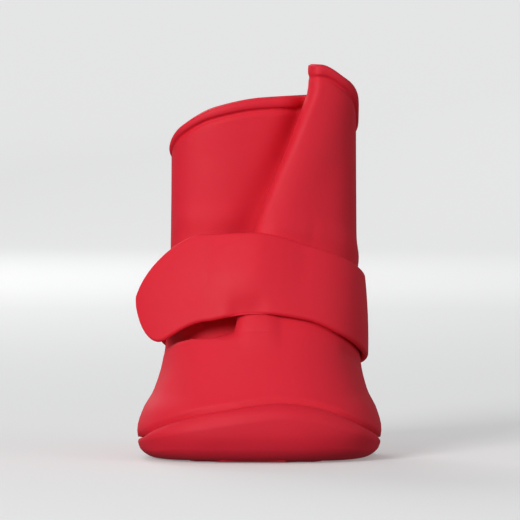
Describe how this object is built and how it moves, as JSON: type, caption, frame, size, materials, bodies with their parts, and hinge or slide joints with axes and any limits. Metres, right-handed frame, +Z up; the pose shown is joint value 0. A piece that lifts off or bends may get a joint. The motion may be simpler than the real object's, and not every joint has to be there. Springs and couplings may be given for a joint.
{
  "type": "dog rain boot",
  "caption": "Moulded rubber dog rain boot, red: hollow shaft with one front fold, cup sole with toe rand and cross lugs, wide ankle strap with a free rounded tab.",
  "frame": {"origin": "on the ground, under the middle of the whole boot's box, strap tab included", "axes": "+Z up along the shaft, -Y towards the toe, +X towards the paw's inner (medial) side"},
  "size_m": [0.0529, 0.0575, 0.0844],
  "materials": {
    "upper_rubber": "moulded, satin",
    "sole_rubber": "moulded, satin",
    "strap_rubber": "moulded, satin",
    "insole_foam": "cloth-covered foam, matt"
  },
  "bodies": {
    "root": {"outsole": "sole_rubber", "upper": "upper_rubber", "insole": "insole_foam", "strap": "strap_rubber"}
  },
  "joints": []
}
